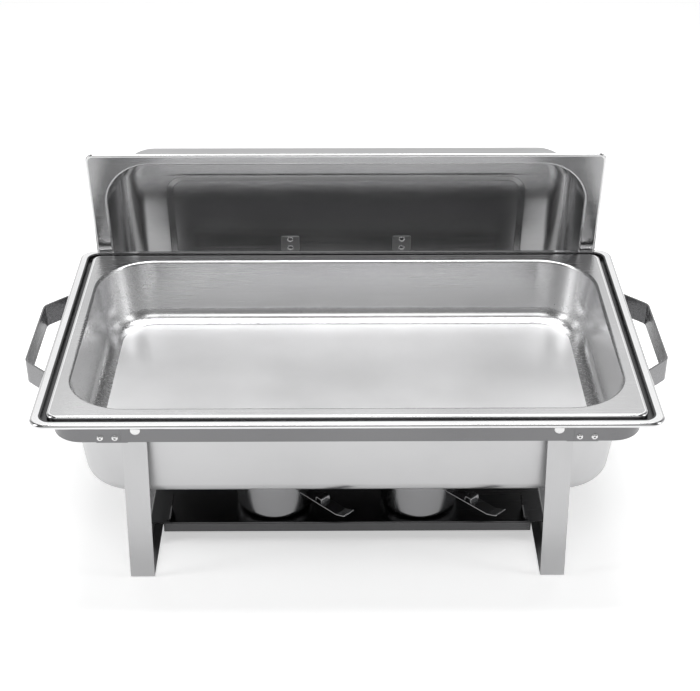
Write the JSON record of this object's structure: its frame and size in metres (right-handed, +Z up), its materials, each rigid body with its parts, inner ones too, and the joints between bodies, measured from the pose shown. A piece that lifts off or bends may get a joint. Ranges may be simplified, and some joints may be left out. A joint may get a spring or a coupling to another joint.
{
  "type": "chafing dish food warmer",
  "caption": "Full-size chafing dish on a folding strip stand, with a food pan in a water pan, a domed lid stood behind, and fuel burners on a shelf.",
  "frame": {"origin": "centre of the whole object's box on the floor, lid stored behind the pans", "axes": "+Z up, +X along the pans' length to the right as seen from the serving side, -Y towards the serving side"},
  "size_m": [0.6046, 0.428, 0.2982],
  "materials": {
    "shelf_steel": "brushed",
    "rivet_steel": "bright",
    "ring_steel": "satin",
    "leg_steel": "satin",
    "handle_steel": "satin",
    "burner_steel": "satin",
    "food_pan_steel": "satin polish",
    "water_pan_steel": "satin polish",
    "lid_steel": "polished"
  },
  "bodies": {
    "stand": {"front_rail": "ring_steel", "rear_rail": "ring_steel", "left_end_band": "ring_steel", "right_end_band": "ring_steel", "front_left_splice": "ring_steel", "front_right_splice": "ring_steel", "rear_left_splice": "ring_steel", "rear_right_splice": "ring_steel", "splice_rivets": "rivet_steel", "pivot_rivets": "rivet_steel", "left_handle": "handle_steel", "right_handle": "handle_steel", "handle_rivets": "rivet_steel"},
    "left_leg": {"left_leg": "leg_steel"},
    "right_leg": {"right_leg": "leg_steel"},
    "shelf": {"fuel_shelf": "shelf_steel"},
    "left_burner": {"left_fuel_cup": "burner_steel", "left_cup_cover": "burner_steel", "left_cup_grip": "burner_steel", "left_snuffer_rivet": "rivet_steel"},
    "right_burner": {"right_fuel_cup": "burner_steel", "right_cup_cover": "burner_steel", "right_cup_grip": "burner_steel", "right_snuffer_rivet": "rivet_steel"},
    "left_snuffer": {"left_snuffer": "burner_steel"},
    "right_snuffer": {"right_snuffer": "burner_steel"},
    "water_pan": {"water_pan": "water_pan_steel"},
    "food_pan": {"food_pan": "food_pan_steel"},
    "lid": {"lid_shell": "lid_steel", "lid_handle": "handle_steel", "left_lid_plate": "lid_steel", "right_lid_plate": "lid_steel", "lid_handle_rivets": "rivet_steel"}
  },
  "joints": [
    {"name": "water_pan_lift", "type": "slide", "parent": "stand", "child": "water_pan", "axis": [0, -0.1219, 0.9925], "range_m": [0, 0.178]},
    {"name": "food_pan_lift", "type": "slide", "parent": "water_pan", "child": "food_pan", "axis": [0, -0.1219, 0.9925], "range_m": [0, 0.12]},
    {"name": "lid_lift", "type": "slide", "parent": "stand", "child": "lid", "axis": [0, -0.1219, 0.9925], "range_m": [0, 0.3]},
    {"name": "left_leg_fold", "type": "hinge", "parent": "stand", "child": "left_leg", "pos_m": [-0.1865, -0.0505, 0.17], "axis": [0, -1, 0], "range_deg": [0, 86.5]},
    {"name": "right_leg_fold", "type": "hinge", "parent": "stand", "child": "right_leg", "pos_m": [0.1865, -0.0505, 0.17], "axis": [0, 1, 0], "range_deg": [0, 86.5]},
    {"name": "shelf_lift", "type": "slide", "parent": "stand", "child": "shelf", "axis": [0, 0, 1], "range_m": [0, 0.179]},
    {"name": "left_burner_draw", "type": "slide", "parent": "shelf", "child": "left_burner", "axis": [0, -1, 0], "range_m": [0, 0.2]},
    {"name": "right_burner_draw", "type": "slide", "parent": "shelf", "child": "right_burner", "axis": [0, -1, 0], "range_m": [0, 0.2]},
    {"name": "left_snuffer_swing", "type": "hinge", "parent": "left_burner", "child": "left_snuffer", "pos_m": [-0.0545, -0.08965, 0.076], "axis": [0, 0, 1], "range_deg": [0, 75]},
    {"name": "right_snuffer_swing", "type": "hinge", "parent": "right_burner", "child": "right_snuffer", "pos_m": [0.0855, -0.08965, 0.076], "axis": [0, 0, 1], "range_deg": [0, 75]}
  ],
  "couplings": [
    {"joint": "left_leg_fold", "follows": "water_pan_lift", "rad_per_m": 8.4325},
    {"joint": "right_leg_fold", "follows": "water_pan_lift", "rad_per_m": 8.4325},
    {"joint": "shelf_lift", "follows": "water_pan_lift", "ratio": 1}
  ]
}
